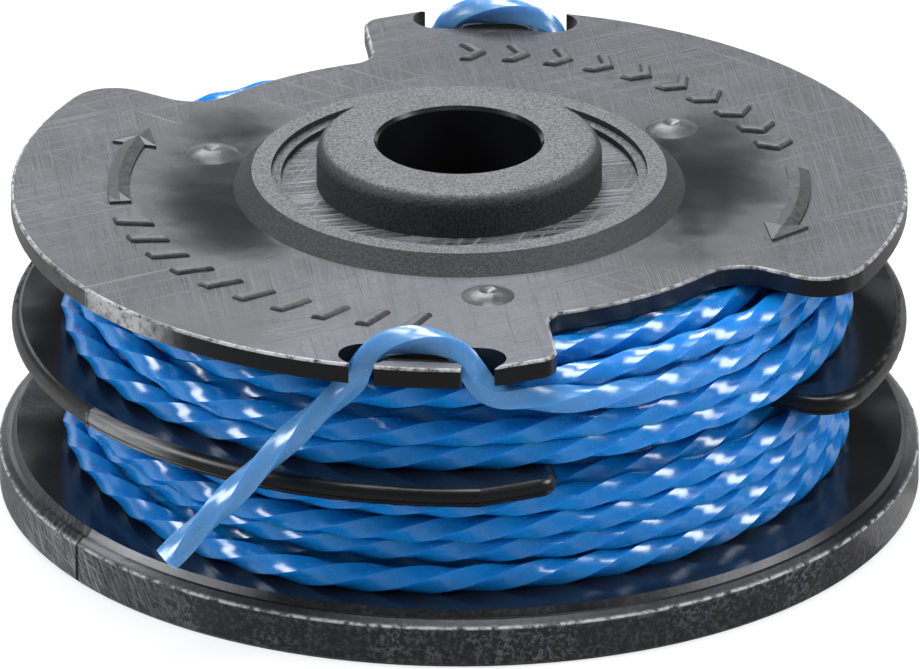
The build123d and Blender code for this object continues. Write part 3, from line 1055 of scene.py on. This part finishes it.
def floor():
    """Pale floor that keeps the shadow, with painted shade under the base, and, where gloss looks, is dark
    towards the front.
    """
    mesh = bpy.data.meshes.new("floor")
    corners = [(-1, -1, 0), (1, -1, 0), (1, 1, 0), (-1, 1, 0)]
    mesh.from_pydata([Vector(corner) * FLOOR_HALF for corner in corners], [], [(0, 1, 2, 3)])
    piece = bpy.data.objects.new("floor", mesh)
    bpy.context.scene.collection.objects.link(piece)
    material = bpy.data.materials.new("pale_floor")
    material.use_nodes = True
    mesh.materials.append(material)
    tree = material.node_tree
    tree.nodes.clear()
    rays = add_node(tree, "ShaderNodeLightPath").outputs
    place = add_node(tree, "ShaderNodeTexCoord").outputs["Object"]
    reach = vector_calc(tree, "LENGTH", place)["Value"]
    aslant = vector_calc(tree, "DOT_PRODUCT", place, FLOOR_SLANT)["Value"]
    far = vector_calc(tree, "NORMALIZE", place)["Vector"]
    along = vector_calc(tree, "DOT_PRODUCT", far, FLOOR_BEAM)["Value"]
    beam = ramp(tree, along, *FLOOR_BEAM_EDGE, 0.0, FLOOR_BEAM_LEVEL)
    glow = calc(tree, "ADD", ramp(tree, aslant, *FLOOR_GLOSS, *FLOOR_LEVEL), beam)
    matt = add_node(tree, "ShaderNodeBsdfDiffuse", {"Color": FLOOR_COLOUR}).outputs[0]
    # Painted shade: under the base the floor does not glow white
    outside = ramp(tree, reach, FLOOR_SHADE * BASE_R * MM, BASE_R * MM)
    seen = calc(tree, "MAXIMUM", rays["Is Camera Ray"], rays["Is Transmission Ray"])
    share = calc(tree, "MULTIPLY", calc(tree, "MULTIPLY", seen, outside), FLOOR_WHITE)
    lit = mix_shader(tree, share, matt, emission(tree, 1.0))
    surface = mix_shader(tree, rays["Is Glossy Ray"], lit, emission(tree, glow))
    add_node(tree, "ShaderNodeOutputMaterial", {"Surface": surface})


def lamps():
    """Soft lamps around the spool, each a place, a size in metres and a power in watts."""
    for name, (place, size, power) in LAMPS.items():
        data = bpy.data.lights.new(name, "AREA")
        data.shape = "DISK"
        data.size = size
        data.energy = power
        data.color = LAMP_COLOUR
        lamp = bpy.data.objects.new(name, data)
        lamp.location = place
        lamp.rotation_euler = (-Vector(place)).to_track_quat("-Z", "Y").to_euler()
        bpy.context.scene.collection.objects.link(lamp)


def camera():
    """Camera at the photo's viewing angle."""
    data = bpy.data.cameras.new("camera")
    data.lens = CAMERA_LENS_MM
    data.sensor_width = SENSOR_MM
    view = bpy.data.objects.new("camera", data)
    view.location = CAMERA_PLACE
    view.rotation_euler = (CAMERA_TARGET - CAMERA_PLACE).to_track_quat("-Z", "Y").to_euler()
    bpy.context.scene.collection.objects.link(view)
    bpy.context.scene.camera = view


bpy.context.scene.view_settings.view_transform = "Standard"
camera()
surround()
floor()
lamps()

blue = line_material()
wind_line(
    "front_line", "front", "upper_winding", "front_line_end", UPPER_LAYERS, UPPER_OUTER, FRONT_END, blue
)
wind_line(
    "rear_line", "rear", "lower_winding", "rear_line_end", LOWER_LAYERS, LOWER_OUTER, REAR_END, blue
)

finishes = finish_spool()
raised("chevron_marks", chevron_outlines(), finishes["mark"])
raised("bar_marks", bar_outlines(), finishes["mark"])
for index, turn in enumerate(TURN_DEG.values()):
    arrow(f"arrow_{index + 1}", turn, finishes["mark"])
base_edge = [(BASE_R, height) for height in BASE_FLASH_Z]
middle_edge = [(FLANGE_R, height) for height in MIDDLE_FLASH_Z]
top_edge = [(FLANGE_R, height) for height in TOP_FLASH_Z]
for index, turn in enumerate(TURN_DEG.values()):
    flash(f"base_flash_{index + 1}", PARTING_DEG + turn, base_edge, finishes["rim"])
    flash(f"middle_flash_{index + 1}", PARTING_DEG + turn, middle_edge, finishes["edge"])
    flash(f"top_flash_{index + 1}", PARTING_DEG + turn, top_edge, finishes["edge"])
